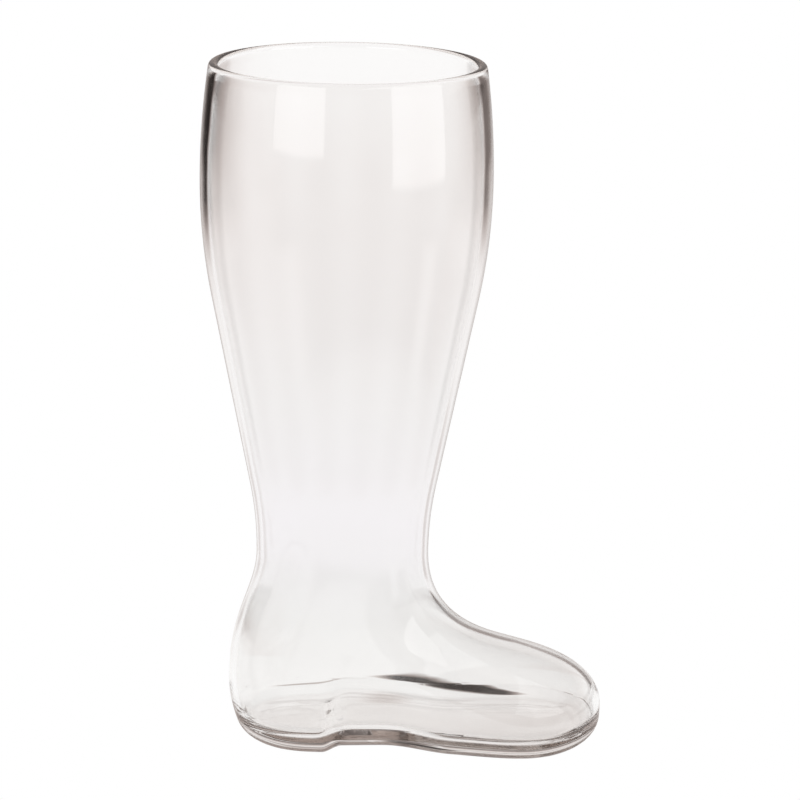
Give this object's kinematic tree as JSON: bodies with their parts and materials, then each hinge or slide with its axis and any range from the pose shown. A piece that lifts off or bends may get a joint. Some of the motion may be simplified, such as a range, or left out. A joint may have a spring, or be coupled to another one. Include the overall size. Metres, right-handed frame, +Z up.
{
  "type": "beer boot glass",
  "caption": "Boot-shaped drinking glass: a wide open leg narrowing to the ankle, a hollow foot with a round toe, and a thick sole with a heel step, for serving beer.",
  "frame": {"origin": "middle of the boot's length and width, on the surface that it stands on", "axes": "+X from the heel to the toe, +Z up the leg to the mouth, +Y across the boot"},
  "size_m": [0.1778, 0.126, 0.3],
  "materials": {
    "clear_glass": "fire-polished"
  },
  "bodies": {
    "root": {"rim": "clear_glass", "leg": "clear_glass", "foot": "clear_glass", "sole": "clear_glass", "heel": "clear_glass"}
  },
  "joints": []
}
